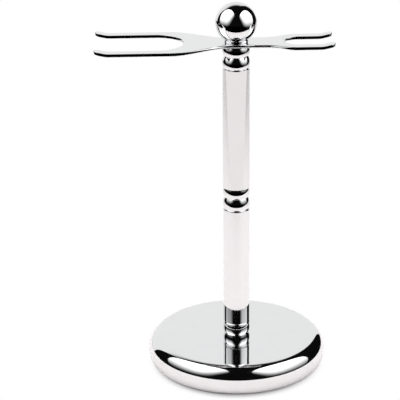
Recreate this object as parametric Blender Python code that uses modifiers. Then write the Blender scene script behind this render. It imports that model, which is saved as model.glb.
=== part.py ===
"""Razor and brush stand: a round weighted base, a two-piece column and a double fork.

Blender 4.5 script, in metres, +Z up.  The origin is the centre of the pad's underside, on the
column's axis.  The wide fork for a brush points along -X and the narrow one for a razor along +X.
"""

import math

import bmesh
import bpy

MM = 0.001

# Clearances
SEAT_GAP = 0.3 * MM          # between two pieces that rest on each other
FIT_GAP = 0.3 * MM           # all round a piece inside its bore

# Base
BASE_HEIGHT = 15.3 * MM      # table to the flat top
BASE_RADIUS = 42.9 * MM      # at the widest place
BASE_WIDEST_HEIGHT = 9.4 * MM
BASE_SHOULDER = 6.2 * MM     # from the flat top's edge out to the widest place
BASE_UNDERCUT = 5.8 * MM     # from the widest place in to the lower rim
BASE_FOOT_HEIGHT = 0.8 * MM  # rim above the table
BASE_SHOULDER_POWER = 1.65   # 2 is an ellipse, less is flatter and more is squarer
BASE_UNDERSIDE_POWER = 2.8
BASE_RIM_WALL = 1.3 * MM
BASE_TOP_WALL = 2.0 * MM
PAD_THICKNESS = 2.0 * MM
WEIGHT_WEB = 2.9 * MM        # iron left over the screw's washer
WEIGHT_POCKET_RADIUS = 8.0 * MM

# Threaded pieces
THREAD_RADIUS = 3.0 * MM
THREAD_CHAMFER = 0.6 * MM
SCREW_GRIP = 11.0 * MM       # length of thread inside a plug
SCREW_HEAD_RADIUS = 5.25 * MM
SCREW_HEAD_HEIGHT = 3.3 * MM
SCREW_HEAD_ROUNDING = 1.8 * MM
SCREW_SOCKET_WIDTH = 4.0 * MM  # across flats
SCREW_SOCKET_DEPTH = 1.9 * MM
WASHER_RADIUS = 6.0 * MM
WASHER_THICKNESS = 1.0 * MM
SPRING_WASHER_RADIUS = 5.4 * MM
SPRING_WASHER_THICKNESS = 1.4 * MM
SPRING_WASHER_SLIT = 1.0 * MM
SPRING_WASHER_SLANT = math.radians(25)

# Column
TUBE_RADIUS = 6.35 * MM
TUBE_WALL = 1.0 * MM
LOWER_TUBE_LENGTH = 58.2 * MM
UPPER_TUBE_LENGTH = 58.65 * MM
PLUG_LENGTH = 14.0 * MM
FOOT_BEAD = 4.8 * MM         # height of the foot collar's bead
LOWER_BEAD = 6.15 * MM       # and of the two on the other collars
UPPER_BEAD = 4.5 * MM
BEAD_PROUD = 0.1 * MM        # bead crown beyond the tube
BEAD_CROWN = 2.3 * MM        # lower edge up to the crown
BEAD_CURVE_ABOVE = 7.5 * MM  # radius of the curve over the crown
BEAD_CURVE_BELOW = 4.7 * MM
FOOT_RING_HEIGHT = 1.3 * MM  # fine ring over the foot's bead
FOOT_RING_GROOVE = 0.35 * MM

# Fork plate
PLATE_THICKNESS = 1.5 * MM
PLATE_EDGE = 0.45 * MM       # rounding of the buffed edges
WAIST_HALF_WIDTH = 7.2 * MM
BRUSH_REACH = 65.4 * MM      # column axis to the prong tips
BRUSH_GAP = 25.6 * MM
BRUSH_PRONG = 4.8 * MM       # prong width
BRUSH_ROOT = 24.0 * MM       # column axis to the slot's end
BRUSH_TAPER_START = 2.0 * MM
BRUSH_TAPER_END = 31.0 * MM
RAZOR_REACH = 45.2 * MM
RAZOR_GAP = 12.9 * MM
RAZOR_PRONG = 4.7 * MM
RAZOR_ROOT = 22.6 * MM
RAZOR_TAPER_START = 13.0 * MM
RAZOR_TAPER_END = 28.0 * MM
TIP_LENGTH = 7.0 * MM        # upturned end of a prong
TIP_RISE = 1.3 * MM
TIP_BLEND = 3.0 * MM         # length over which the prong bends

# Knob
KNOB_WASHER_RADIUS = 5.6 * MM
KNOB_WASHER_THICKNESS = 0.65 * MM
KNOB_RADIUS = 9.6 * MM
KNOB_SEAT_RADIUS = 5.6 * MM  # flat under the ball
KNOB_BORE_DEPTH = 9.5 * MM
KNOB_GRIP = 8.5 * MM         # stud inside the knob

# Facets
BASE_STEPS = 72
COLUMN_STEPS = 40
SMALL_STEPS = 24
SHOULDER_STEPS = 12
UNDERSIDE_STEPS = 6
BEAD_STEPS = 5
HEAD_STEPS = 4
BALL_STEPS = 18
WAIST_STEPS = 4
SLOT_END_STEPS = 10
BEND_STEPS = 5
TIP_STEPS = 5
EDGE_STEPS = 2
HEXAGON = 6

# Making
MERGE = 0.01 * MM            # points nearer than this are one
OVERCUT = 3.0 * MM           # a cutter stands this far past the piece
ROUNDED_CORNERS = math.radians(50)  # sharper corners of the plate are rounded

BASE_FLAT_RADIUS = BASE_RADIUS - BASE_SHOULDER
BASE_FOOT_RADIUS = BASE_RADIUS - BASE_UNDERCUT
CAVITY_RADIUS = BASE_FOOT_RADIUS - BASE_RIM_WALL
INSERT_RADIUS = CAVITY_RADIUS - FIT_GAP
BORE_RADIUS = THREAD_RADIUS + FIT_GAP
COLLAR_HEIGHT = LOWER_BEAD + UPPER_BEAD


def stack_heights():
    """Heights of every seat on the column, each worked out from the piece below."""
    heights = {"base_top": BASE_HEIGHT}
    heights["foot_collar"] = heights["base_top"] + SEAT_GAP
    heights["lower_tube"] = heights["foot_collar"] + FOOT_BEAD + FOOT_RING_HEIGHT + SEAT_GAP
    heights["middle_collar"] = heights["lower_tube"] + LOWER_TUBE_LENGTH + SEAT_GAP
    heights["upper_tube"] = heights["middle_collar"] + COLLAR_HEIGHT + SEAT_GAP
    heights["top_collar"] = heights["upper_tube"] + UPPER_TUBE_LENGTH + SEAT_GAP
    heights["plate"] = heights["top_collar"] + COLLAR_HEIGHT + SEAT_GAP
    heights["knob_washer"] = heights["plate"] + PLATE_THICKNESS + SEAT_GAP
    heights["knob"] = heights["knob_washer"] + KNOB_WASHER_THICKNESS + SEAT_GAP
    heights["ceiling"] = BASE_HEIGHT - BASE_TOP_WALL
    heights["weight"] = PAD_THICKNESS + SEAT_GAP
    heights["weight_top"] = heights["ceiling"] - SEAT_GAP
    heights["washer"] = heights["weight_top"] - WEIGHT_WEB - SEAT_GAP - WASHER_THICKNESS
    heights["spring_washer"] = heights["washer"] - SEAT_GAP - SPRING_WASHER_THICKNESS
    heights["screw_head"] = heights["spring_washer"] - SEAT_GAP - SCREW_HEAD_HEIGHT
    return heights


HEIGHT = stack_heights()


# ---------------------------------------------------------------- scene helpers

def clear_scene():
    for old in list(bpy.data.objects):
        bpy.data.objects.remove(old, do_unlink=True)


def new_collection(name):
    collection = bpy.data.collections.new(name)
    bpy.context.scene.collection.children.link(collection)
    return collection


def metal(name, colour, roughness):
    return principled(name, colour, roughness, 1.0)


def principled(name, colour, roughness, metallic):
    material = bpy.data.materials.new(name)
    material.use_nodes = True
    shader = material.node_tree.nodes["Principled BSDF"]
    shader.inputs["Base Color"].default_value = (*colour, 1.0)
    shader.inputs["Roughness"].default_value = roughness
    shader.inputs["Metallic"].default_value = metallic
    material.diffuse_color = (*colour, 1.0)
    return material


def add_empty(name, height, parent, collection):
    empty = bpy.data.objects.new(name, None)
    empty.location.z = height
    empty.parent = parent
    collection.objects.link(empty)
    return empty


def place(piece, height, parent, material, collection):
    """Seat a piece at a height on the axis, under an empty that stands on the same axis."""
    collection.objects.link(piece)
    piece.parent = parent
    piece.location.z = height - parent.location.z
    piece.data.materials.append(material)
    return piece


# ---------------------------------------------------------------- cutters

def as_cutter(name, solid, cutters):
    """A bmesh made into a hidden object centred on its own origin."""
    mesh = bpy.data.meshes.new(name)
    solid.to_mesh(mesh)
    solid.free()
    cutter = bpy.data.objects.new(name, mesh)
    cutter.hide_render = True
    cutter.display_type = "WIRE"
    cutters.objects.link(cutter)
    return cutter


def drill(name, radius, sides, depth, cutters):
    solid = bmesh.new()
    bmesh.ops.create_cone(solid, cap_ends=True, segments=sides, radius1=radius, radius2=radius,
                          depth=depth)
    return as_cutter(name, solid, cutters)


def bar(name, size, cutters):
    solid = bmesh.new()
    bmesh.ops.create_cube(solid, size=1)
    bmesh.ops.scale(solid, vec=size, verts=solid.verts)
    return as_cutter(name, solid, cutters)


def cut(piece, cutter):
    boolean = piece.modifiers.new(cutter.name, "BOOLEAN")
    boolean.operation = "DIFFERENCE"
    boolean.solver = "EXACT"
    boolean.object = cutter


# ---------------------------------------------------------------- turned pieces

def turned(name, profile, steps):
    """A piece turned about Z.  The profile runs down the outside and back up the inside."""
    mesh = bpy.data.meshes.new(name)
    touches_axis = profile[0][0] == 0
    last = len(profile) - 1
    edges = [(i, i + 1) for i in range(last)]
    if not touches_axis:
        edges.append((last, 0))
    mesh.from_pydata([(radius, 0, z) for radius, z in profile], edges, [])
    piece = bpy.data.objects.new(name, mesh)
    screw = piece.modifiers.new("turn", "SCREW")
    screw.axis = "Z"
    screw.angle = 2 * math.pi
    screw.steps = steps
    screw.render_steps = steps
    screw.use_merge_vertices = touches_axis
    screw.merge_threshold = MERGE
    screw.use_smooth_shade = True
    return piece


def ring_profile(outer, inner, height):
    return [(outer, height), (outer, 0), (inner, 0), (inner, height)]


def arc(centre, radii, start, end, count, power=2.0):
    """Points on a super-ellipse quarter, by angle from +X, end points included."""
    points = []
    for i in range(count + 1):
        angle = start + (end - start) * i / count
        c, s = math.cos(angle), math.sin(angle)
        across = math.copysign(abs(c) ** (2 / power), c)
        up = math.copysign(abs(s) ** (2 / power), s)
        points.append((centre[0] + radii[0] * across, centre[1] + radii[1] * up))
    return points


def bead_profile(bottom, height):
    """Outer side of one bead, top to bottom: a slow curve over its crown, a quick one below."""
    crown_radius = TUBE_RADIUS + BEAD_PROUD
    crown = bottom + BEAD_CROWN
    above, below = BEAD_CURVE_ABOVE, BEAD_CURVE_BELOW
    rise = math.asin((height - BEAD_CROWN) / above)
    fall = math.asin(BEAD_CROWN / below)
    upper = arc((crown_radius - above, crown), (above, above), rise, 0, BEAD_STEPS)
    lower = arc((crown_radius - below, crown), (below, below), 0, -fall, BEAD_STEPS)
    return upper + lower[1:]


def collar(name):
    outside = bead_profile(LOWER_BEAD, UPPER_BEAD) + bead_profile(0, LOWER_BEAD)
    inside = [(BORE_RADIUS, 0), (BORE_RADIUS, COLLAR_HEIGHT)]
    return turned(name, outside + inside, COLUMN_STEPS)


def foot_collar():
    """One bead with a fine ring over it, parted by a small groove."""
    bead = bead_profile(0, FOOT_BEAD)
    top = FOOT_BEAD + FOOT_RING_HEIGHT
    ring = [(TUBE_RADIUS - FOOT_RING_GROOVE, top),
            (TUBE_RADIUS, top - FOOT_RING_GROOVE),
            (TUBE_RADIUS, FOOT_BEAD + FOOT_RING_GROOVE)]
    inside = [(BORE_RADIUS, 0), (BORE_RADIUS, top)]
    return turned("foot_collar", ring + bead + inside, COLUMN_STEPS)


def tube(name, length):
    return turned(name, ring_profile(TUBE_RADIUS, TUBE_RADIUS - TUBE_WALL, length), COLUMN_STEPS)


def plug(name):
    outer = TUBE_RADIUS - TUBE_WALL - FIT_GAP
    return turned(name, ring_profile(outer, BORE_RADIUS, PLUG_LENGTH), SMALL_STEPS)


def stud(name, length):
    profile = [(0, length),
               (THREAD_RADIUS - THREAD_CHAMFER, length),
               (THREAD_RADIUS, length - THREAD_CHAMFER),
               (THREAD_RADIUS, THREAD_CHAMFER),
               (THREAD_RADIUS - THREAD_CHAMFER, 0),
               (0, 0)]
    return turned(name, profile, SMALL_STEPS)


def washer(name, radius, thickness):
    return turned(name, ring_profile(radius, BORE_RADIUS, thickness), SMALL_STEPS)


def spring_washer(cutters):
    """A washer slit through on one side, at a slant."""
    piece = washer("base_spring_washer", SPRING_WASHER_RADIUS, SPRING_WASHER_THICKNESS)
    length = SPRING_WASHER_RADIUS + OVERCUT
    slit = bar("spring_washer_slit",
               (length, SPRING_WASHER_SLIT, SPRING_WASHER_THICKNESS + OVERCUT), cutters)
    slit.parent = piece
    slit.location = (length / 2, 0, SPRING_WASHER_THICKNESS / 2)
    slit.rotation_euler.x = SPRING_WASHER_SLANT
    cut(piece, slit)
    return piece


# ---------------------------------------------------------------- base

def base_shell():
    """Die-cast pebble with a flat top, hollowed from below."""
    shoulder = arc((BASE_FLAT_RADIUS, BASE_WIDEST_HEIGHT),
                   (BASE_RADIUS - BASE_FLAT_RADIUS, BASE_HEIGHT - BASE_WIDEST_HEIGHT),
                   math.pi / 2, 0, SHOULDER_STEPS, BASE_SHOULDER_POWER)
    under = arc((BASE_FOOT_RADIUS, BASE_WIDEST_HEIGHT),
                (BASE_RADIUS - BASE_FOOT_RADIUS, BASE_WIDEST_HEIGHT - BASE_FOOT_HEIGHT),
                0, -math.pi / 2, UNDERSIDE_STEPS, BASE_UNDERSIDE_POWER)
    inside = [(CAVITY_RADIUS, BASE_FOOT_HEIGHT),
              (CAVITY_RADIUS, HEIGHT["ceiling"]),
              (BORE_RADIUS, HEIGHT["ceiling"]),
              (BORE_RADIUS, BASE_HEIGHT)]
    return turned("base_shell", shoulder + under[1:] + inside, BASE_STEPS)


def base_weight():
    """Cast disc that fills the shell, with a pocket for the screw's head."""
    top = HEIGHT["weight_top"] - HEIGHT["weight"]
    web = top - WEIGHT_WEB
    profile = [(INSERT_RADIUS, top), (INSERT_RADIUS, 0),
               (WEIGHT_POCKET_RADIUS, 0), (WEIGHT_POCKET_RADIUS, web),
               (BORE_RADIUS, web), (BORE_RADIUS, top)]
    return turned("base_weight", profile, COLUMN_STEPS)


def base_pad():
    profile = [(0, PAD_THICKNESS), (INSERT_RADIUS, PAD_THICKNESS), (INSERT_RADIUS, 0), (0, 0)]
    return turned("base_pad", profile, COLUMN_STEPS)


def base_screw(cutters):
    """Button-head screw, head down, with a hexagon socket in its head."""
    length = HEIGHT["lower_tube"] + SCREW_GRIP - HEIGHT["screw_head"]
    crown = arc((SCREW_HEAD_RADIUS - SCREW_HEAD_ROUNDING, SCREW_HEAD_ROUNDING),
                (SCREW_HEAD_ROUNDING, SCREW_HEAD_ROUNDING), 0, -math.pi / 2, HEAD_STEPS)
    profile = [(0, length),
               (THREAD_RADIUS - THREAD_CHAMFER, length),
               (THREAD_RADIUS, length - THREAD_CHAMFER),
               (THREAD_RADIUS, SCREW_HEAD_HEIGHT),
               (SCREW_HEAD_RADIUS, SCREW_HEAD_HEIGHT)]
    piece = turned("base_screw", profile + crown + [(0, 0)], SMALL_STEPS)
    corner = SCREW_SOCKET_WIDTH / 2 / math.cos(math.pi / HEXAGON)
    socket = drill("screw_socket", corner, HEXAGON, 2 * SCREW_SOCKET_DEPTH, cutters)
    socket.parent = piece
    cut(piece, socket)
    return piece


# ---------------------------------------------------------------- fork plate

def ease(value):
    value = min(1.0, max(0.0, value))
    return value * value * (3 - 2 * value)


def tip_lift(distance):
    """Height of a prong at a distance past its bend: a blend, then a straight slope."""
    if distance <= 0:
        return 0.0
    slope = TIP_RISE / (TIP_LENGTH - TIP_BLEND / 2)
    if distance < TIP_BLEND:
        return slope * distance * distance / (2 * TIP_BLEND)
    return slope * (distance - TIP_BLEND / 2)


def fork_sections(reach, gap, prong, root, taper_start, taper_end):
    """Sections of one fork from the waist to the tip: distance, inner and outer half-width."""
    half_gap = gap / 2
    outer = half_gap + prong
    root_centre = root + half_gap
    tip_radius = prong / 2
    tip_centre = reach - tip_radius

    def side(distance):
        share = (distance - taper_start) / (taper_end - taper_start)
        return WAIST_HALF_WIDTH + (outer - WAIST_HALF_WIDTH) * ease(share)

    sections = []
    for i in range(WAIST_STEPS):
        distance = taper_start + (root - taper_start) * i / WAIST_STEPS
        sections.append((distance, 0.0, side(distance)))
    for i in range(SLOT_END_STEPS + 1):
        angle = math.pi / 2 * i / SLOT_END_STEPS
        distance = root_centre - half_gap * math.cos(angle)
        sections.append((distance, half_gap * math.sin(angle), side(distance)))
    straight_end = reach - TIP_LENGTH
    if straight_end > root_centre:
        sections.append(((root_centre + straight_end) / 2, half_gap, outer))
    bend_start = max(straight_end, root_centre + prong / 4)
    for i in range(BEND_STEPS):
        distance = bend_start + (tip_centre - bend_start) * i / BEND_STEPS
        sections.append((distance, half_gap, outer))
    for i in range(TIP_STEPS + 1):
        angle = math.pi / 2 * i / TIP_STEPS
        width = tip_radius * math.cos(angle)
        middle = half_gap + tip_radius
        sections.append((tip_centre + tip_radius * math.sin(angle), middle - width, middle + width))
    return sections


def fork_plate(cutters):
    """Half of the plate as a strip of faces, mirrored, thickened, drilled and edge-rounded."""
    brush = fork_sections(BRUSH_REACH, BRUSH_GAP, BRUSH_PRONG, BRUSH_ROOT,
                          BRUSH_TAPER_START, BRUSH_TAPER_END)
    razor = fork_sections(RAZOR_REACH, RAZOR_GAP, RAZOR_PRONG, RAZOR_ROOT,
                          RAZOR_TAPER_START, RAZOR_TAPER_END)
    strip = bmesh.new()
    rows = []
    for sign, reach, sections in ((-1, BRUSH_REACH, reversed(brush)), (1, RAZOR_REACH, razor)):
        for distance, inner, outer in sections:
            lift = tip_lift(distance - (reach - TIP_LENGTH))
            rows.append([strip.verts.new((sign * distance, y, lift)) for y in (inner, outer)])
    for left, right in zip(rows, rows[1:]):
        strip.faces.new((left[0], right[0], right[1], left[1]))
    bmesh.ops.remove_doubles(strip, verts=strip.verts, dist=MERGE)
    mesh = bpy.data.meshes.new("fork_plate")
    strip.to_mesh(mesh)
    strip.free()
    piece = bpy.data.objects.new("fork_plate", mesh)

    mirror = piece.modifiers.new("other half", "MIRROR")
    mirror.use_axis = (False, True, False)
    mirror.merge_threshold = MERGE
    thicken = piece.modifiers.new("sheet", "SOLIDIFY")
    thicken.thickness = PLATE_THICKNESS
    thicken.offset = 1.0
    hole = drill("plate_hole", BORE_RADIUS, SMALL_STEPS, 2 * (PLATE_THICKNESS + OVERCUT), cutters)
    hole.parent = piece
    cut(piece, hole)
    rounding = piece.modifiers.new("buffed edges", "BEVEL")
    rounding.width = PLATE_EDGE
    rounding.segments = EDGE_STEPS
    rounding.limit_method = "ANGLE"
    rounding.angle_limit = ROUNDED_CORNERS
    return piece


# ---------------------------------------------------------------- knob

def ball_knob():
    """Ball with a flat seat and a blind bore for the stud."""
    centre = math.sqrt(KNOB_RADIUS ** 2 - KNOB_SEAT_RADIUS ** 2)
    seat_angle = -math.asin(centre / KNOB_RADIUS)
    ball = arc((0, centre), (KNOB_RADIUS, KNOB_RADIUS), math.pi / 2, seat_angle, BALL_STEPS)
    ball[0] = (0, ball[0][1])
    bore = [(BORE_RADIUS, 0), (BORE_RADIUS, KNOB_BORE_DEPTH),
            (0, KNOB_BORE_DEPTH + BORE_RADIUS / 2)]
    return turned("ball_knob", ball + bore, COLUMN_STEPS)


# ---------------------------------------------------------------- assembly

def build():
    clear_scene()
    stand = new_collection("razor_and_brush_stand")
    cutters = new_collection("cutters")

    chrome = metal("polished chrome", (0.86, 0.87, 0.88), 0.04)
    zinc = metal("zinc-plated steel", (0.62, 0.64, 0.66), 0.32)
    brass = metal("brass", (0.80, 0.62, 0.33), 0.28)
    iron = metal("cast iron", (0.14, 0.14, 0.15), 0.65)
    rubber = principled("black rubber foam", (0.02, 0.02, 0.02), 0.85, 0.0)

    table = add_empty("stand_axis", 0, None, stand)
    swivel = add_empty("swivel_axis", HEIGHT["plate"], table, stand)
    knob_axis = add_empty("knob_axis", HEIGHT["knob_washer"], table, stand)

    def seat(piece, height, material, parent=table):
        place(piece, height, parent, material, stand)

    seat(base_shell(), 0, chrome)
    seat(base_weight(), HEIGHT["weight"], iron)
    seat(base_pad(), 0, rubber)
    seat(washer("base_washer", WASHER_RADIUS, WASHER_THICKNESS), HEIGHT["washer"], zinc)
    seat(spring_washer(cutters), HEIGHT["spring_washer"], zinc)
    seat(base_screw(cutters), HEIGHT["screw_head"], zinc)

    seat(foot_collar(), HEIGHT["foot_collar"], chrome)
    for level, length in (("lower", LOWER_TUBE_LENGTH), ("upper", UPPER_TUBE_LENGTH)):
        foot = HEIGHT[level + "_tube"]
        seat(tube(level + "_tube", length), foot, chrome)
        seat(plug(level + "_tube_foot_plug"), foot, brass)
        seat(plug(level + "_tube_head_plug"), foot + length - PLUG_LENGTH, brass)
    seat(collar("middle_collar"), HEIGHT["middle_collar"], chrome)
    seat(collar("top_collar"), HEIGHT["top_collar"], chrome)

    joint_start = HEIGHT["middle_collar"] - SEAT_GAP - SCREW_GRIP
    joint_end = HEIGHT["upper_tube"] + SCREW_GRIP
    seat(stud("joining_stud", joint_end - joint_start), joint_start, zinc)
    knob_start = HEIGHT["top_collar"] - SEAT_GAP - SCREW_GRIP
    seat(stud("top_stud", HEIGHT["knob"] + KNOB_GRIP - knob_start), knob_start, zinc)

    seat(fork_plate(cutters), HEIGHT["plate"], chrome, swivel)
    seat(washer("knob_washer", KNOB_WASHER_RADIUS, KNOB_WASHER_THICKNESS),
         HEIGHT["knob_washer"], chrome, knob_axis)
    seat(ball_knob(), HEIGHT["knob"], chrome, knob_axis)


build()
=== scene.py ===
"""Looks for a razor and brush stand: polished chrome on a weighted base, and a plain studio.

Run as a script.  The frame holds the measured pieces; the operators below lay finely turned
chrome over them, cut the stud's thread, paint every finish and set up the table and lamps.
"""

import math

import bmesh
import bpy
from bpy.props import FloatProperty, FloatVectorProperty, IntProperty, PointerProperty
from bpy.types import Operator, Panel, PropertyGroup
from mathutils import Matrix, Quaternion, Vector


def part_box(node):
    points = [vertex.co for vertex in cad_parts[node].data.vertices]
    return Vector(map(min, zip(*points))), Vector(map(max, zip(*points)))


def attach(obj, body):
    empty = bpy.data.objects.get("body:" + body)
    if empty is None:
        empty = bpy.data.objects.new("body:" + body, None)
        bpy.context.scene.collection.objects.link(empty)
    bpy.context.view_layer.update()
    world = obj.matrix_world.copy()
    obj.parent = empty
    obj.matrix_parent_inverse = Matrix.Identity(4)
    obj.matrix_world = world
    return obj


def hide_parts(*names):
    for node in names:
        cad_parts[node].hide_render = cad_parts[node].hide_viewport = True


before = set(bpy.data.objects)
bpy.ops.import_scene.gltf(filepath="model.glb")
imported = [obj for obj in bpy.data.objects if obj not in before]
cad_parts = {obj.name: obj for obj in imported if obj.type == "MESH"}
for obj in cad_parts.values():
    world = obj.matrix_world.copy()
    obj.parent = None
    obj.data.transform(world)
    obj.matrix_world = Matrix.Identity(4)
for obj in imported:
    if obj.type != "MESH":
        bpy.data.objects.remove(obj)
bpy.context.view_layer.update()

bl_info = {
    "name": "Razor and Brush Stand",
    "version": (1, 0, 0),
    "blender": (4, 5, 0),
    "location": "View3D > Sidebar > Shaving Stand",
    "description": "Builds the chrome, the hidden hardware's finishes and a plain studio",
    "category": "Object",
}

MM = 0.001
QUARTER = math.pi / 2
GLANCING = math.radians(30)      # edges sharper than this stay crisp
EDGE_FACETS = 7                  # round one edge of the fork
EDGE_STRIP = 1.4                 # flat strip beside a fork edge, in runs of that edge
FLARE_STEPS, SLOT_STEPS, PRONG_STEPS, BEND_STEPS, TIP_STEPS = 14, 28, 6, 12, 14
THREAD_STEPS = 32                # facets in one turn of the thread
THREAD_LEAD = 0.6 * MM           # length over which the thread runs out
THREAD_PROFILE = ((0.0, 0.0), (0.12, 0.0), (0.44, 1.0), (0.56, 1.0), (0.88, 0.0))


# ---------------------------------------------------------------- measured places

def low(node):
    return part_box(node)[0]


def high(node):
    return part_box(node)[1]


def radius_of(node):
    return high(node).x


# ---------------------------------------------------------------- sizes and colours

def length(name, description, default):
    return FloatProperty(name=name, description=description, default=default, min=0.0,
                         unit="LENGTH", precision=5)


def share(name, description, default):
    return FloatProperty(name=name, description=description, default=default, min=0.0, max=1.0,
                         subtype="FACTOR")


def turn(name, description, default):
    return FloatProperty(name=name, description=description, default=default, unit="ROTATION")


def colour(name, description, default):
    return FloatVectorProperty(name=name, description=description, default=default, min=0.0,
                               max=1.0, size=3, subtype="COLOR")


class STAND_PG_chrome(PropertyGroup):
    tint: colour("Tint", "Colour of the chrome seen straight on", (0.765, 0.77, 0.775))
    polish: share("Polish roughness", "Roughness of a clean patch", 0.035)
    haze: share("Haze", "Roughness that handling adds", 0.05)
    ripple: length("Ripple", "Height of the plating's slow ripple", 0.004 * MM)
    scratches: length("Scratches", "Depth of the wiping marks", 0.0015 * MM)


class STAND_PG_hidden(PropertyGroup):
    iron: colour("Cast iron", "The weight in the base", (0.075, 0.073, 0.072))
    rust: colour("Rust", "Bloom on the cast iron", (0.16, 0.075, 0.04))
    foam: colour("Foam rubber", "The pad under the base", (0.018, 0.018, 0.019))
    zinc: colour("Zinc", "Plated screws, studs and washers", (0.56, 0.58, 0.60))
    brass: colour("Brass", "The plugs in the tubes", (0.62, 0.43, 0.17))


class STAND_PG_base(PropertyGroup):
    shoulder: length("Shoulder", "Flat top's edge out to the widest place", 6.2 * MM)
    widest: length("Widest height", "Height of the widest place", 9.4 * MM)
    undercut: length("Undercut", "Widest place in to the lower rim", 5.8 * MM)
    squareness: FloatProperty(name="Squareness", min=1.0, default=1.65,
                              description="Shoulder: 2 is an ellipse, less flatter, more squarer")
    under_squareness: FloatProperty(name="Underside squareness", min=1.0, default=2.8,
                                    description="The same for the curve down to the rim")
    rim_wall: length("Rim wall", "Width of the lower rim", 1.3 * MM)
    top_wall: length("Top wall", "Thickness of the top", 2.0 * MM)
    steps: IntProperty(name="Steps", description="Facets round the base", default=160, min=8)


class STAND_PG_column(PropertyGroup):
    foot_bead: length("Foot bead", "Height of the bead on the base", 4.8 * MM)
    lower_bead: length("Lower bead", "Height of the lower bead of a pair", 6.15 * MM)
    upper_bead: length("Upper bead", "Height of the upper bead of a pair", 4.5 * MM)
    crown: length("Crown", "A bead's lower edge up to its crown", 2.3 * MM)
    above: length("Curve above", "Radius of a bead over its crown", 7.5 * MM)
    below: length("Curve below", "Radius of a bead under its crown", 4.7 * MM)
    seam: length("Seam", "How far a collar or washer reaches into the gaps beside it", 0.24 * MM)
    wall: length("Tube wall", "Wall of the tubes", 1.0 * MM)
    ring_groove: length("Ring groove", "Chamfers of the fine ring at the foot", 0.35 * MM)
    edge: length("Edge", "Rounding of a tube's ends", 0.12 * MM)
    bore: length("Bore", "Radius of the bores for the studs", 3.3 * MM)
    steps: IntProperty(name="Steps", description="Facets round the column", default=128, min=8)


class STAND_PG_fork(PropertyGroup):
    waist: length("Waist", "Half-width beside the knob", 7.2 * MM)
    prong_edge: length("Prong edge", "Rounding of the prongs' edges", 0.15 * MM)
    waist_drop: length("Waist edge height", "Height of the waist's rounded edge", 0.74 * MM)
    waist_run: length("Waist edge run", "Width of the waist's rounded edge", 1.2 * MM)
    blend: length("Edge blend", "How far past a slot's end the edge turns crisp", 4.0 * MM)
    brush_gap: length("Brush slot", "Gap between the brush prongs", 25.6 * MM)
    brush_prong: length("Brush prong", "Width of a brush prong", 4.8 * MM)
    brush_root: length("Brush root", "Column axis to the brush slot's end", 24.0 * MM)
    brush_taper: length("Brush flare", "Column axis to where the brush fork starts", 2.0 * MM)
    brush_full: length("Brush full width", "Column axis to the brush fork's full width",
                       31.0 * MM)
    razor_gap: length("Razor slot", "Gap between the razor prongs", 12.9 * MM)
    razor_prong: length("Razor prong", "Width of a razor prong", 4.7 * MM)
    razor_root: length("Razor root", "Column axis to the razor slot's end", 22.6 * MM)
    razor_taper: length("Razor flare", "Column axis to where the razor fork starts", 13.0 * MM)
    razor_full: length("Razor full width", "Column axis to the razor fork's full width",
                       28.0 * MM)
    tip: length("Tip", "Length of a prong's upturned end", 7.0 * MM)
    rise: length("Rise", "How far a tip is lifted", 1.3 * MM)
    bend: length("Bend", "Length over which a prong bends", 3.0 * MM)
    thickness: length("Thickness", "Thickness of the plate", 1.5 * MM)


class STAND_PG_knob(PropertyGroup):
    seat: length("Seat", "Radius of the flat under the ball", 5.6 * MM)
    bore_depth: length("Bore depth", "Depth of the threaded bore", 9.5 * MM)
    pitch: length("Pitch", "Rise of the thread in one turn", 1.0 * MM)
    thread: length("Thread depth", "Crest to root of the thread", 0.55 * MM)


class STAND_PG_studio(PropertyGroup):
    distance: length("Camera distance", "Level distance from the column", 0.8156)
    height: length("Camera height", "Height over the table", 0.4008)
    bearing: turn("Camera bearing", "How far round to the left it stands", math.radians(2.705))
    aim: turn("Camera aim", "Heading of its view", math.radians(1.49))
    pitch: turn("Camera pitch", "How far down it looks", math.radians(21.2))
    roll: turn("Camera roll", "How far it leans", math.radians(-0.513))
    lens: FloatProperty(name="Lens", description="Focal length", default=165.05, min=1.0,
                        subtype="DISTANCE_CAMERA")
    lamp: FloatProperty(name="Lamp level", description="Brightness of the two soft boxes",
                        default=2.2, min=0.0)
    fill: FloatProperty(name="Fill level", description="Brightness of the fill over the table",
                        default=2.35, min=0.0)
    fill_height: length("Fill height", "Height of the fill over the table", 1.2)
    fill_reach: length("Fill reach", "Middle of the fill to each side", 0.6)
    box_distance: length("Lamp distance", "From the knob to a soft box", 0.3)
    box_target: length("Lamp target", "Height that the soft boxes face", 0.165)
    box_half_width: length("Lamp half-width", "Middle of a soft box to its side", 0.255)
    box_half_height: length("Lamp half-height", "Middle of a soft box to its foot", 0.27)
    table: colour("Table", "Colour of the table", (0.98, 0.94, 0.94))
    shadow_from: length("Shadow start", "Column to where the shadow starts to fade", 0.034)
    shadow_to: length("Shadow end", "Column to where the shadow has faded", 0.044)
    # The tubes' sheet, with its level, tint and reach, is a painted reflection: a glow that only
    # the two tubes take, so they read white with a faint pink cast
    sheet: FloatProperty(name="Sheet level", description="Brightness of the tubes' sheet",
                         default=1.05, min=0.0)
    tube_reflection_tint: colour("Sheet tint", "Colour of the tubes' sheet", (1.0, 0.955, 0.955))
    sheet_reach: length("Sheet reach", "Column to the edge of the tubes' sheet", 1.2)
    far_wall: length("Backdrop distance", "Column to the backdrop", 0.9)


class STAND_PG_settings(PropertyGroup):
    chrome: PointerProperty(type=STAND_PG_chrome)
    hidden: PointerProperty(type=STAND_PG_hidden)
    base: PointerProperty(type=STAND_PG_base)
    column: PointerProperty(type=STAND_PG_column)
    fork: PointerProperty(type=STAND_PG_fork)
    knob: PointerProperty(type=STAND_PG_knob)
    studio: PointerProperty(type=STAND_PG_studio)


# ---------------------------------------------------------------- shader maths

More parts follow.
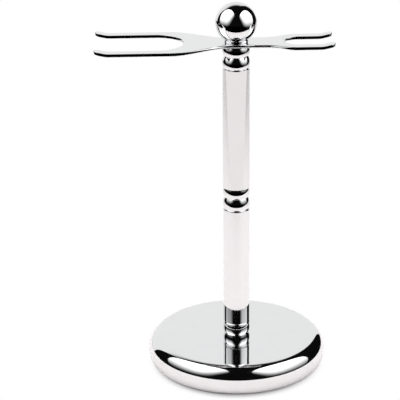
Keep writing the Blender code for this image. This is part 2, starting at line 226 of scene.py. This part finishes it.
class Wire:
    """A socket's output that takes part in Python sums, each of which adds a Math node."""

    def __init__(self, finish, socket):
        self.finish, self.socket = finish, socket

    def _sum(self, operation, first, second):
        return self.finish.node("Math", {"operation": operation}, {0: first, 1: second})

    def __add__(self, other):
        return self._sum("ADD", self, other)

    def __radd__(self, other):
        return self._sum("ADD", other, self)

    def __sub__(self, other):
        return self._sum("SUBTRACT", self, other)

    def __rsub__(self, other):
        return self._sum("SUBTRACT", other, self)

    def __mul__(self, other):
        return self._sum("MULTIPLY", self, other)

    def __rmul__(self, other):
        return self._sum("MULTIPLY", other, self)


class Finish:
    """One material or world, built node by node."""

    def __init__(self, owner):
        self.owner = owner
        owner.use_nodes = True
        self.tree = owner.node_tree
        self.tree.nodes.clear()

    def node(self, kind, settings=None, sockets=None, output=0):
        """Any node: its settings first, then the values or wires of its sockets."""
        made = self.tree.nodes.new("ShaderNode" + kind)
        for name, value in (settings or {}).items():
            if name == "stops":
                self._stops(made.color_ramp, value)
            else:
                setattr(made, name, value)
        for name, value in (sockets or {}).items():
            if isinstance(value, Wire):
                self.tree.links.new(value.socket, made.inputs[name])
            else:
                made.inputs[name].default_value = value
        return Wire(self, made.outputs[output]) if made.outputs else None

    @staticmethod
    def _stops(ramp, stops):
        while len(ramp.elements) < len(stops):
            ramp.elements.new(1.0)
        for element, (place, level) in zip(ramp.elements, stops):
            element.position = place
            element.color = (level, level, level, 1.0)

    def blend(self, factor, first, second):
        """Mixes two colours."""
        pair = [(*c, 1.0) if isinstance(c, tuple) else c for c in (first, second)]
        return self.node("Mix", {"data_type": "RGBA"}, {0: factor, 6: pair[0], 7: pair[1]}, 2)

    def ramp(self, factor, *stops):
        return self.node("ValToRGB", {"stops": stops}, {"Fac": factor})

    def place(self, stretch=(1.0, 1.0, 1.0)):
        """Where a point lies on the piece, in metres, stretched along the axes."""
        point = self.node("TexCoord", output="Object")
        return self.node("VectorMath", {"operation": "MULTIPLY"}, {0: point, 1: stretch})

    def noise(self, size, detail=2.0, stretch=(1.0, 1.0, 1.0), roughness=0.5):
        """Cloudy noise whose lumps are about this size."""
        return self.node("TexNoise", sockets={"Vector": self.place(stretch), "Scale": 1 / size,
                                              "Detail": detail, "Roughness": roughness})

    def cells(self, size):
        return self.node("TexVoronoi", sockets={"Vector": self.place(), "Scale": 1 / size})

    def bump(self, height, depth):
        """Relief of this depth where height goes from 0 to 1."""
        return self.node("Bump", sockets={"Height": height, "Strength": 1.0, "Distance": depth})

    def surface(self, sockets):
        shader = self.node("BsdfPrincipled", sockets=sockets)
        self.node("OutputMaterial", sockets={"Surface": shader})
        return self.owner


def new_finish(name):
    return Finish(bpy.data.materials.new(name))


def polished_chrome(look):
    """Mirror plating with handling haze, faint wiping marks and a slow ripple."""
    mix = new_finish("polished chrome")
    smears = mix.ramp(mix.noise(9 * MM, 4.0), (0.42, 0.0), (0.68, 1.0))
    film = mix.ramp(mix.noise(3 * MM, 3.0, (1.0, 1.0, 0.4)), (0.45, 0.0), (0.75, 1.0))
    wipes = mix.ramp(mix.noise(0.9 * MM, 2.0, (0.12, 1.0, 1.0)), (0.60, 0.0), (0.70, 1.0))
    pits = mix.ramp(mix.cells(2.6 * MM), (0.035, 1.0), (0.06, 0.0))
    haze = smears * 0.6 + film * 0.25
    ripple = mix.noise(7 * MM, 1.0)
    relief = mix.bump(ripple, look.ripple)
    marks = mix.node("Bump", sockets={"Height": wipes * 0.6 - pits, "Strength": 1.0,
                                      "Distance": look.scratches, "Normal": relief})
    return mix.surface({
        "Base Color": mix.blend(haze * 0.35 + pits * 0.2, tuple(look.tint),
                                tuple(0.93 * c for c in look.tint)),
        "Metallic": 1.0,
        "Roughness": look.polish + look.haze * haze + wipes * 0.015 + pits * 0.03,
        "Normal": marks,
    })


def cast_iron(look):
    """Sand-cast grain with a little rust bloom."""
    mix = new_finish("cast iron")
    grain = mix.noise(0.8 * MM, 4.0, roughness=0.7)
    lumps = mix.noise(5 * MM, 2.0)
    bloom = mix.ramp(mix.noise(6 * MM, 5.0), (0.55, 0.0), (0.70, 1.0))
    tone = mix.blend(grain, tuple(0.6 * c for c in look.iron), tuple(1.5 * c for c in look.iron))
    return mix.surface({
        "Base Color": mix.blend(bloom * 0.6, tone, tuple(look.rust)),
        "Metallic": mix.ramp(bloom, (0.0, 0.75), (1.0, 0.1)),
        "Roughness": 0.55 + grain * 0.2 + bloom * 0.15,
        "Normal": mix.bump(grain + lumps * 0.5, 0.12 * MM),
    })


def foam_rubber(look):
    """Closed-cell foam with open pores on the cut face, the pores painted near black as painted
    shade inside them.
    """
    mix = new_finish("foam rubber")
    pores = mix.ramp(mix.cells(1.3 * MM), (0.18, 0.0), (0.42, 1.0))
    lumps = mix.noise(0.7 * MM, 3.0)
    dust = mix.ramp(mix.noise(11 * MM, 4.0), (0.45, 0.0), (0.8, 1.0))
    tone = mix.blend(dust * 0.25, tuple(look.foam), (0.09, 0.085, 0.08))
    return mix.surface({
        # painted shade: the pore holes are painted near black
        "Base Color": mix.blend(1 - pores, tone, (0.006, 0.006, 0.006)),
        "Roughness": 0.8 + lumps * 0.15,
        "Specular IOR Level": 0.3,
        "Normal": mix.bump(pores + lumps * 0.3, 0.25 * MM),
    })


def bright_zinc(look):
    """Bright zinc with a faint yellow passivation and turning marks."""
    mix = new_finish("bright zinc")
    cloud = mix.ramp(mix.noise(2.5 * MM, 3.0), (0.4, 0.0), (0.7, 1.0))
    turning = mix.noise(0.9 * MM, 2.0, (0.15, 0.15, 1.6))
    return mix.surface({
        "Base Color": mix.blend(cloud * 0.5, tuple(look.zinc), (0.62, 0.57, 0.44)),
        "Metallic": 1.0,
        "Roughness": 0.24 + cloud * 0.12 + turning * 0.08,
        "Normal": mix.bump(turning, 0.02 * MM),
    })


def turned_brass(look):
    """Turned brass, a little tarnished."""
    mix = new_finish("turned brass")
    tarnish = mix.ramp(mix.noise(4 * MM, 4.0), (0.45, 0.0), (0.75, 1.0))
    turning = mix.noise(0.8 * MM, 2.0, (0.1, 0.1, 1.4))
    return mix.surface({
        "Base Color": mix.blend(tarnish * 0.6, tuple(look.brass), (0.26, 0.17, 0.08)),
        "Metallic": 1.0,
        "Roughness": 0.22 + tarnish * 0.2 + turning * 0.1,
        "Normal": mix.bump(turning, 0.03 * MM),
    })


def paint(piece, material):
    piece.data.materials.clear()
    piece.data.materials.append(material)


def repaint(node, material):
    """A frame piece keeps its mesh, and only its slots change."""
    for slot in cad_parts[node].material_slots:
        slot.link = "OBJECT"
        slot.material = material


# ---------------------------------------------------------------- outlines

def arc(centre, radii, start, end, count, power=2.0):
    """Points of a super-ellipse by angle from +X, end points included."""
    points = []
    for i in range(count + 1):
        angle = start + (end - start) * i / count
        c, s = math.cos(angle), math.sin(angle)
        points.append((centre[0] + radii[0] * math.copysign(abs(c) ** (2 / power), c),
                       centre[1] + radii[1] * math.copysign(abs(s) ** (2 / power), s)))
    return points


def soften(outline, radius, closed=True, count=5):
    """Rounds every sharp corner of an outline, with a point beside each round to hold it."""
    made = []
    last = len(outline) - 1
    for i, here in enumerate(outline):
        corner = Vector(here)
        before = Vector(outline[i - 1]) - corner
        after = Vector(outline[(i + 1) % len(outline)]) - corner
        on_end = not closed and i in (0, last)
        if on_end or math.pi - before.angle(after) < GLANCING:
            made.append(here)
            continue
        half = before.angle(after) / 2
        run = min(radius / math.tan(half), 0.3 * before.length, 0.3 * after.length)
        a, b = before.normalized(), after.normalized()
        middle = corner + (a + b).normalized() * (run / math.cos(half))
        first, final = corner + a * run, corner + b * run
        made.append(tuple(corner + a * min(1.5 * run, 0.45 * before.length)))
        sweep = (first - middle).angle_signed(final - middle)
        for step in range(count + 1):
            angle = sweep * step / count
            spoke = first - middle
            c, s = math.cos(angle), math.sin(angle)
            made.append((middle.x + c * spoke.x + s * spoke.y,
                         middle.y - s * spoke.x + c * spoke.y))
        made.append(tuple(corner + b * min(1.5 * run, 0.45 * after.length)))
    return made


def turned(name, outline, steps):
    """A piece turned about Z from a closed outline, or from one that starts and ends on Z."""
    on_axis = outline[0][0] == 0
    rings, verts = [], []
    for radius, z in outline:
        if on_axis and radius == 0:
            rings.append([len(verts)] * steps)
            verts.append((0, 0, z))
            continue
        rings.append(range(len(verts), len(verts) + steps))
        for i in range(steps):
            angle = 2 * math.pi * i / steps
            verts.append((radius * math.cos(angle), radius * math.sin(angle), z))
    faces = []
    pairs = list(zip(rings, rings[1:])) + ([] if on_axis else [(rings[-1], rings[0])])
    for upper, lower in pairs:
        for i in range(steps):
            j = (i + 1) % steps
            corners = [upper[i], lower[i], lower[j], upper[j]]
            faces.append(list(dict.fromkeys(corners)))
    return finished(name, verts, faces)


def finished(name, verts, faces):
    mesh = bpy.data.meshes.new(name)
    mesh.from_pydata(verts, [], faces)
    skin = bmesh.new()
    skin.from_mesh(mesh)
    bmesh.ops.recalc_face_normals(skin, faces=skin.faces)
    skin.to_mesh(mesh)
    skin.free()
    mesh.shade_smooth()
    mesh.set_sharp_from_angle(angle=GLANCING)
    piece = bpy.data.objects.new(name, mesh)
    bpy.context.collection.objects.link(piece)
    return piece


def seat(piece, material, body, slot, *nodes):
    """Paints a new piece, lets it ride on its body and stand for its frame pieces."""
    paint(piece, material)
    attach(piece, body)
    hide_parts(*nodes)
    return piece


# ---------------------------------------------------------------- chrome pieces

def chrome():
    return bpy.data.materials.get("polished chrome") or polished_chrome(
        bpy.context.scene.shaving_stand.chrome)


def zinc():
    return bpy.data.materials.get("bright zinc") or bright_zinc(
        bpy.context.scene.shaving_stand.hidden)


class STAND_OT_base(Operator):
    """Turn the chrome pebble over the weight"""
    bl_idname = "shaving_stand.base"
    bl_label = "Base"

    def execute(self, context):
        size = context.scene.shaving_stand.base
        bore = context.scene.shaving_stand.column.bore
        outer, bottom, top = radius_of("base_shell"), low("base_shell").z, high("base_shell").z
        flat, foot = outer - size.shoulder, outer - size.undercut
        cavity, ceiling = foot - size.rim_wall, top - size.top_wall
        shoulder = arc((flat, size.widest), (size.shoulder, top - size.widest),
                       QUARTER, 0, 48, size.squareness)
        under = arc((foot, size.widest), (size.undercut, size.widest - bottom), 0, -QUARTER, 20,
                    size.under_squareness)
        inside = [(cavity, bottom), (cavity, ceiling), (bore, ceiling), (bore, top)]
        rim = [(flat - 0.5 * MM, top)]
        outline = soften(rim + shoulder + under[1:] + inside, 0.25 * MM)
        seat(turned("polished_base", outline, size.steps), chrome(), "stand", "polished_chrome",
             "base_shell")
        return {"FINISHED"}


def bead(size, crown_radius, bottom, height):
    """Outer side of one bead, top to bottom: a slow curve over its crown, a quick one below."""
    crown = bottom + size.crown
    rise = math.asin((height - size.crown) / size.above)
    fall = math.asin(size.crown / size.below)
    upper = arc((crown_radius - size.above, crown), (size.above, size.above), rise, 0, 16)
    lower = arc((crown_radius - size.below, crown), (size.below, size.below), 0, -fall, 16)
    return upper + lower[1:]


class STAND_OT_collars(Operator):
    """Turn the beaded collars at the column's foot, middle and head"""
    bl_idname = "shaving_stand.collars"
    bl_label = "Collars"

    def execute(self, context):
        size = context.scene.shaving_stand.column
        tube, cut = radius_of("lower_tube"), size.ring_groove
        for node in ("foot_collar", "middle_collar", "top_collar"):
            bottom, top, crown = low(node).z, high(node).z, radius_of(node)
            if node == "foot_collar":
                crest = bottom + size.foot_bead
                outline = [(tube - cut, top), (tube, top - cut), (tube, crest + cut)]
                outline += bead(size, crown, bottom, size.foot_bead)
            else:
                outline = bead(size, crown, bottom + size.lower_bead, size.upper_bead)
                outline += bead(size, crown, bottom, size.lower_bead)
            head, foot = outline[0][0], outline[-1][0]
            outline = [(head, top + size.seam)] + outline + [(foot, bottom - size.seam)]
            outline += [(size.bore, bottom - size.seam), (size.bore, top + size.seam)]
            seat(turned("polished_" + node, soften(outline, 0.08 * MM), size.steps), chrome(),
                 "stand", "polished_chrome", node)
        return {"FINISHED"}


class STAND_OT_tubes(Operator):
    """Turn the two tubes of the column"""
    bl_idname = "shaving_stand.tubes"
    bl_label = "Tubes"

    def execute(self, context):
        size = context.scene.shaving_stand.column
        for node in ("lower_tube", "upper_tube"):
            outer, bottom, top = radius_of(node), low(node).z, high(node).z
            inner = outer - size.wall
            outline = [(outer, top), (outer, bottom), (inner, bottom), (inner, top)]
            seat(turned("polished_" + node, soften(outline, size.edge), size.steps), chrome(),
                 "stand", "polished_chrome", node)
        return {"FINISHED"}


class STAND_OT_knob(Operator):
    """Turn the ball knob and the washer under it"""
    bl_idname = "shaving_stand.knob"
    bl_label = "Knob"

    def execute(self, context):
        settings = context.scene.shaving_stand
        size, bore, steps = settings.knob, settings.column.bore, settings.column.steps
        bottom, radius = low("ball_knob").z, radius_of("ball_knob")
        centre = bottom + math.sqrt(radius ** 2 - size.seat ** 2)
        lowest = -math.acos(size.seat / radius)
        ball = arc((0, centre), (radius, radius), QUARTER, lowest, 72)
        ball[0] = (0, ball[0][1])
        hole = [(bore, bottom), (bore, bottom + size.bore_depth),
                (0, bottom + size.bore_depth + bore / 2)]
        outline = soften(ball + hole, 0.2 * MM, closed=False)
        seat(turned("polished_ball_knob", outline, steps), chrome(), "knob", "polished_chrome",
             "ball_knob")

        outer, seam = radius_of("knob_washer"), settings.column.seam
        bottom, top = low("knob_washer").z - seam, high("knob_washer").z + seam
        ring = [(outer, top), (outer, bottom), (bore, bottom), (bore, top)]
        seat(turned("polished_knob_washer", soften(ring, 0.2 * MM), steps), chrome(), "knob_seat",
             "polished_chrome", "knob_washer")
        return {"FINISHED"}


class STAND_OT_stud(Operator):
    """Cut the thread on the stud that the knob climbs"""
    bl_idname = "shaving_stand.stud"
    bl_label = "Stud"

    def execute(self, context):
        size = context.scene.shaving_stand.knob
        bottom, top, crest = low("top_stud").z, high("top_stud").z, radius_of("top_stud")
        steps = THREAD_STEPS
        rise = size.pitch / steps
        verts, faces = [], []
        count = int((top - bottom - size.pitch) / rise)
        for i in range(count):
            angle = 2 * math.pi * i / steps
            start = bottom + rise * i
            to_end = min(start - bottom, top - size.pitch - start)
            run_out = min(1.0, to_end / THREAD_LEAD)
            for along, height in THREAD_PROFILE:
                radius = crest - size.thread * (1.0 - height * max(0.0, run_out))
                verts.append((radius * math.cos(angle), radius * math.sin(angle),
                              start + along * size.pitch))
        width = len(THREAD_PROFILE)
        for i in range(count - 1):
            for k in range(width - 1):
                a = i * width + k
                faces.append((a, a + width, a + width + 1, a + 1))
            turn_later = i + steps
            if turn_later + 1 < count:
                a, b = i * width + width - 1, turn_later * width
                faces.append((a, a + width, b + width, b))
        verts.append((0, 0, bottom))
        verts.append((0, 0, top))
        foot_hub, head_hub = len(verts) - 2, len(verts) - 1
        foot = [i * width for i in range(steps + 1)]
        for a, b in zip(foot, foot[1:]):
            faces.append((a, b, foot_hub))
        faces.append((foot[-1], foot[0], foot_hub))
        head = [(count - 1 - steps + i) * width + width - 1 for i in range(steps + 1)]
        for a, b in zip(head, head[1:]):
            faces.append((a, b, head_hub))
        last = [(count - 1) * width + k for k in range(width)]
        for a, b in zip(last, last[1:]):
            faces.append((a, b, head_hub))
        faces.append((last[0], head[0], head_hub))
        seat(finished("threaded_top_stud", verts, faces), zinc(), "stand", "zinc_plated_steel",
             "top_stud")
        return {"FINISHED"}


# ---------------------------------------------------------------- fork

def ease(value):
    value = min(1.0, max(0.0, value))
    return value * value * (3 - 2 * value)


def lift(size, distance):
    """Height of a prong at a distance past its bend: a blend, then a straight slope."""
    if distance <= 0:
        return 0.0
    slope = size.rise / (size.tip - size.bend / 2)
    if distance < size.bend:
        return slope * distance * distance / (2 * size.bend)
    return slope * (distance - size.bend / 2)


def fork_sections(size, reach, gap, prong, root, flare, full):
    """One fork from the waist to the tips: distance, inner and outer half-width."""
    half_gap, tip_radius = gap / 2, prong / 2
    outer, root_centre, tip_centre = half_gap + prong, root + half_gap, reach - tip_radius

    def side(distance):
        return size.waist + (outer - size.waist) * ease((distance - flare) / (full - flare))

    sections = [(d, 0.0, side(d))
                for d in spread(flare, root - 2 * size.waist_run, FLARE_STEPS)]
    for angle in spread(0, QUARTER, SLOT_STEPS):
        distance = root_centre - half_gap * math.cos(angle)
        sections.append((distance, half_gap * math.sin(angle), side(distance)))
    bend_start = max(reach - size.tip, root_centre + prong / 4)
    straight = spread(root_centre, bend_start, PRONG_STEPS)[1:]
    for distance in straight + spread(bend_start, tip_centre, BEND_STEPS)[1:]:
        sections.append((distance, half_gap, side(distance)))
    for angle in spread(0, QUARTER, TIP_STEPS)[1:]:
        width, middle = tip_radius * math.cos(angle), half_gap + tip_radius
        sections.append((tip_centre + tip_radius * math.sin(angle), middle - width,
                         middle + width))
    return sections


def spread(start, end, count):
    return [start + (end - start) * i / count for i in range(count + 1)]


def buffed_edge(size, distance, full, crisp):
    """Distance in from the outline and height of each point round an edge, top to bottom.

    The rounding is full up to one distance along the fork and crisp from another.
    """
    crispness = ease((distance - full) / (crisp - full))
    run = size.waist_run + (size.prong_edge - size.waist_run) * crispness
    drop = size.waist_drop + (size.prong_edge - size.waist_drop) * crispness
    round_over = [(run - run * math.cos(a), size.thickness - drop + drop * math.sin(a))
                  for a in spread(QUARTER, 0, EDGE_FACETS)]
    upper = [(EDGE_STRIP * run, size.thickness)] + round_over
    return upper + [(inset, size.thickness - z) for inset, z in reversed(upper)]


class STAND_OT_fork(Operator):
    """Cut, bend and buff the double fork"""
    bl_idname = "shaving_stand.fork"
    bl_label = "Fork"

    def execute(self, context):
        settings = context.scene.shaving_stand
        size, bore = settings.fork, settings.column.bore
        bottom = low("fork_plate").z
        brush_reach, razor_reach = -low("fork_plate").x, high("fork_plate").x
        brush = fork_sections(size, brush_reach, size.brush_gap, size.brush_prong,
                              size.brush_root, size.brush_taper, size.brush_full)
        razor = fork_sections(size, razor_reach, size.razor_gap, size.razor_prong,
                              size.razor_root, size.razor_taper, size.razor_full)
        rows = [(-d, inner, outer) for d, inner, outer in reversed(brush)] + razor
        whole = [i for i, row in enumerate(rows) if row[1] == 0]
        first, last, count = whole[0], whole[-1], len(rows)
        outline = [rows[i][:2] for i in range(first, 0, -1)]
        outline += [(x, outer) for x, inner, outer in rows]
        outline += [rows[i][:2] for i in range(count - 2, last - 1, -1)]
        outline = [Vector(corner) for corner in outline]

        def point(x, y, z):
            reach = brush_reach if x < 0 else razor_reach
            return (x, y, bottom + z + lift(size, abs(x) - (reach - size.tip)))

        verts, faces = [], []
        for i, here in enumerate(outline):
            if 0 < i < len(outline) - 1:
                before, after = here - outline[i - 1], outline[i + 1] - here
                along = before * (after.length / before.length)
                along += after * (before.length / after.length)
                inward = Vector((along.y, -along.x)).normalized()
            else:
                inward = Vector((math.copysign(1, -here.x), 0))
            if here.x < 0:
                edge = buffed_edge(size, -here.x, size.brush_taper, size.brush_root + size.blend)
            else:
                edge = buffed_edge(size, here.x, size.razor_root - size.blend,
                                   size.razor_root + size.blend)
            for inset, z in edge:
                spot = here + inward * inset
                verts.append(point(spot.x, spot.y, z))
        deep = len(edge)
        for i in range(len(outline) - 1):
            for k in range(deep - 1):
                a, b = i * deep + k, (i + 1) * deep + k
                faces.append((a, b, b + 1, a + 1))
        ends = []
        for i, (x, inner, outer) in enumerate(rows):
            if first < i < last:
                ends.append((len(verts), len(verts) + 1, first + i))
                verts += [point(x, 0, size.thickness), point(x, 0, 0)]
            else:
                rim = (first - i if i <= first else first + 2 * count - 2 - i) * deep
                ends.append((rim, rim + deep - 1, first + i))
        for (a_top, a_low, a_rim), (b_top, b_low, b_rim) in zip(ends, ends[1:]):
            a_rim, b_rim = a_rim * deep, b_rim * deep
            for face in ((a_top, b_top, b_rim, a_rim),
                         (a_low, b_low, b_rim + deep - 1, a_rim + deep - 1)):
                faces.append(tuple(dict.fromkeys(face)))
        twins = []
        for x, y, z in list(verts):
            on_plane = abs(y) < 1e-9
            twins.append(len(twins) if on_plane else len(verts))
            if not on_plane:
                verts.append((x, -y, z))
        faces += [tuple(twins[corner] for corner in face) for face in faces]
        solid = finished("fork_blank", verts, faces)

        drill = bmesh.new()
        bmesh.ops.create_cone(drill, cap_ends=True, segments=64, radius1=bore, radius2=bore,
                              depth=20 * MM, matrix=Matrix.Translation((0, 0, bottom)))
        drill_mesh = bpy.data.meshes.new("drill")
        drill.to_mesh(drill_mesh)
        drill.free()
        cutter = bpy.data.objects.new("drill", drill_mesh)
        context.collection.objects.link(cutter)
        hole = solid.modifiers.new("hole", "BOOLEAN")
        hole.object = cutter
        hole.solver = "EXACT"
        shape = solid.evaluated_get(context.evaluated_depsgraph_get())
        plate_mesh = bpy.data.meshes.new_from_object(shape)
        plate_mesh.name = "polished_fork"
        plate_mesh.set_sharp_from_angle(angle=GLANCING)
        plate = bpy.data.objects.new("polished_fork", plate_mesh)
        context.collection.objects.link(plate)
        for scrap in (solid, cutter):
            bpy.data.objects.remove(scrap, do_unlink=True)
        seat(plate, chrome(), "fork", "polished_chrome", "fork_plate")
        return {"FINISHED"}


class STAND_OT_hardware(Operator):
    """Paint the weight, the pad and the hidden fastenings"""
    bl_idname = "shaving_stand.hardware"
    bl_label = "Hidden hardware"

    def execute(self, context):
        look = context.scene.shaving_stand.hidden
        repaint("base_weight", cast_iron(look))
        repaint("base_pad", foam_rubber(look))
        for node in ("base_washer", "base_spring_washer", "base_screw", "joining_stud", "top_stud"):
            repaint(node, zinc())
        brass = turned_brass(look)
        for tube in ("lower_tube", "upper_tube"):
            repaint(tube + "_foot_plug", brass)
            repaint(tube + "_head_plug", brass)
            repaint(tube, chrome())
        for node in ("base_shell", "foot_collar", "middle_collar", "top_collar", "fork_plate",
                     "knob_washer", "ball_knob"):
            repaint(node, chrome())
        return {"FINISHED"}


# ---------------------------------------------------------------- studio

def heading(bearing, elevation):
    """A direction from the stand; bearing 0 is towards the camera and a plus turns left."""
    level = math.cos(elevation)
    return Vector((-math.sin(bearing) * level, -math.cos(bearing) * level, math.sin(elevation)))


def card(name, outline, material):
    """A flat sheet of the studio that lenses look through and chrome doesn't."""
    mesh = bpy.data.meshes.new(name)
    mesh.from_pydata([(x, y, 0) for x, y in outline], [], [range(len(outline))])
    sheet = bpy.data.objects.new(name, mesh)
    bpy.context.collection.objects.link(sheet)
    paint(sheet, material)
    sheet.visible_camera = sheet.visible_shadow = False
    return sheet


def glow(name, level, sampled, tint=(1.0, 1.0, 1.0), **fades):
    """A glow that turns clear where it fades; each fade is (clear, full) along X or Y."""
    mix = new_finish(name)
    shader = mix.node("Emission", sockets={"Color": (*tint, 1.0), "Strength": level})
    for axis, (clear, full) in fades.items():
        point = mix.node("TexCoord", output="Object")
        along = mix.node("SeparateXYZ", sockets={0: point}, output=axis)
        kept = mix.node("MapRange", {"interpolation_type": "SMOOTHSTEP"},
                        {0: along, 1: clear, 2: full, 3: 0.0, 4: 1.0})
        shader = mix.node("MixShader",
                          sockets={0: kept, 1: mix.node("BsdfTransparent"), 2: shader})
    mix.node("OutputMaterial", sockets={"Surface": shader})
    mix.owner.cycles.emission_sampling = "AUTO" if sampled else "NONE"
    return mix.owner


def soft_box(name, look, bearing, elevation, lean, centre, **fades):
    """A lamp's face near the stand, dimmer towards its foot and towards the lens."""
    outline = arc(centre, (look.box_half_width, look.box_half_height), 0, 2 * math.pi, 64,
                  power=2.6)[:-1]
    box = card(name, outline, glow(name, look.lamp, True, **fades))
    aim = heading(math.radians(bearing), math.radians(elevation))
    box.location = aim * look.box_distance + Vector((0, 0, look.box_target))
    facing = aim.to_track_quat("Z", "Y")
    box.rotation_mode = "QUATERNION"
    box.rotation_quaternion = facing @ Quaternion((0, 0, 1), math.radians(lean))
    return box


class STAND_OT_studio(Operator):
    """Lay the table, hang the backdrop and the soft boxes and stand the camera"""
    bl_idname = "shaving_stand.studio"
    bl_label = "Studio"

    def execute(self, context):
        scene, look = context.scene, context.scene.shaving_stand.studio
        scene.view_settings.view_transform = "Standard"

        world = bpy.data.worlds.new("studio")
        scene.world = world
        room = Finish(world)
        seen = room.node("LightPath", output="Is Camera Ray")
        sky = room.node("Background", sockets={"Color": room.blend(
            seen, (0.004, 0.004, 0.004), (1.0, 1.0, 1.0))})
        room.node("OutputWorld", sockets={"Surface": sky})

        front = arc((0, 0.2), (0.5, 0.39), math.pi, 2 * math.pi, 48)
        edge = front + [(0.5, look.far_wall), (-0.5, look.far_wall)]
        table = card("table", edge, self.table_top(look))
        table.visible_camera = True

        backdrop = card("backdrop", [(-1.05, 0), (0.52, 0), (0.52, 1.9), (-1.05, 1.9)],
                        glow("backdrop", 1.0, False, Y=(1.85, 0.9)))
        backdrop.location.y = look.far_wall
        backdrop.rotation_euler.x = QUARTER

        soft_box("left_soft_box", look, 70.6, 34.6, 4, (0.007, -0.044),
                 X=(0.262, 0.035), Y=(-0.31, 0.044))
        soft_box("right_soft_box", look, -76.6, 28, -7, (-0.067, -0.07),
                 X=(-0.33, -0.085), Y=(-0.327, 0.047))

        side = look.fill_reach
        fill = card("overhead_fill", [(-side, -side), (side, -side), (side, side), (-side, side)],
                    glow("overhead fill", look.fill, True))
        fill.location.z = look.fill_height
        fill.visible_glossy = False

        # A glowing disc under the table whose light only the two tubes take: a painted reflection
        # that makes them read white with a faint pink cast where the room would show dark
        disc = arc((0, 0), (look.sheet_reach, look.sheet_reach), 0, 2 * math.pi, 64)[:-1]
        sheet = card("tube_painted_reflection", disc,
                     glow("tube_painted_reflection", look.sheet, False, tuple(look.tube_reflection_tint)))
        sheet.location.z = -0.1 * MM
        lit = bpy.data.collections.new("lit by the tube card")
        for name in ("polished_lower_tube", "polished_upper_tube"):
            lit.objects.link(bpy.data.objects[name])
        sheet.light_linking.receiver_collection = lit

        self.camera(scene, look)
        return {"FINISHED"}

    @staticmethod
    def table_top(look):
        """Matt white near the stand, plain white to the lens further off, clear from below."""
        mix = new_finish("table top")
        matt = mix.node("BsdfDiffuse", sockets={"Color": (*look.table, 1.0)})
        plain = mix.node("Emission", sockets={"Strength": 1.0})
        spot = mix.node("TexCoord", output="Object")
        away = mix.node("VectorMath", {"operation": "LENGTH"}, {0: spot}, "Value")
        far = mix.node("MapRange", {"interpolation_type": "SMOOTHSTEP"},
                       {0: away, 1: look.shadow_from, 2: look.shadow_to, 3: 0.0, 4: 1.0})
        seen = mix.node("LightPath", output="Is Camera Ray")
        both = mix.node("MixShader", sockets={0: far * seen, 1: matt, 2: plain})
        below = mix.node("NewGeometry", output="Backfacing")
        clear = mix.node("BsdfTransparent")
        mix.node("OutputMaterial", sockets={"Surface": mix.node(
            "MixShader", sockets={0: below * seen, 1: both, 2: clear})})
        mix.owner.cycles.emission_sampling = "NONE"
        return mix.owner

    @staticmethod
    def camera(scene, look):
        lens = bpy.data.cameras.new("camera")
        lens.lens = look.lens
        lens.clip_start, lens.clip_end = 0.05, 10.0
        camera = bpy.data.objects.new("camera", lens)
        scene.collection.objects.link(camera)
        scene.camera = camera
        a, p, r = look.aim, look.pitch, look.roll
        ahead = Vector((math.sin(a) * math.cos(p), math.cos(a) * math.cos(p), -math.sin(p)))
        level = Vector((math.cos(a), -math.sin(a), 0))
        up = level.cross(ahead)
        right = math.cos(r) * level + math.sin(r) * up
        up = math.cos(r) * up - math.sin(r) * level
        turned_to = Matrix((right, up, -ahead)).transposed().to_4x4()
        place = heading(look.bearing, 0) * look.distance + Vector((0, 0, look.height))
        camera.matrix_world = Matrix.Translation(place) @ turned_to


# ---------------------------------------------------------------- panel and registration

STEPS = (STAND_OT_hardware, STAND_OT_base, STAND_OT_tubes, STAND_OT_collars, STAND_OT_fork,
         STAND_OT_stud, STAND_OT_knob, STAND_OT_studio)
GROUPS = (STAND_PG_chrome, STAND_PG_hidden, STAND_PG_base, STAND_PG_column, STAND_PG_fork,
          STAND_PG_knob, STAND_PG_studio, STAND_PG_settings)


class STAND_PT_panel(Panel):
    """Sizes, colours and the steps that build the stand"""
    bl_idname = "STAND_PT_panel"
    bl_label = "Shaving Stand"
    bl_space_type = "VIEW_3D"
    bl_region_type = "UI"
    bl_category = "Shaving Stand"

    def draw(self, context):
        settings = context.scene.shaving_stand
        for step in STEPS:
            self.layout.operator(step.bl_idname)
        for group in ("chrome", "hidden", "base", "column", "fork", "knob", "studio"):
            box = self.layout.box()
            box.label(text=group.title())
            values = getattr(settings, group)
            for name in values.__annotations__:
                box.prop(values, name)


CLASSES = GROUPS + STEPS + (STAND_PT_panel,)


def register():
    for one in CLASSES:
        bpy.utils.register_class(one)
    bpy.types.Scene.shaving_stand = PointerProperty(type=STAND_PG_settings)


def unregister():
    del bpy.types.Scene.shaving_stand
    for one in reversed(CLASSES):
        bpy.utils.unregister_class(one)


def main():
    register()
    for step in STEPS:
        group, name = step.bl_idname.split(".")
        getattr(getattr(bpy.ops, group), name)()


if __name__ == "__main__":
    main()
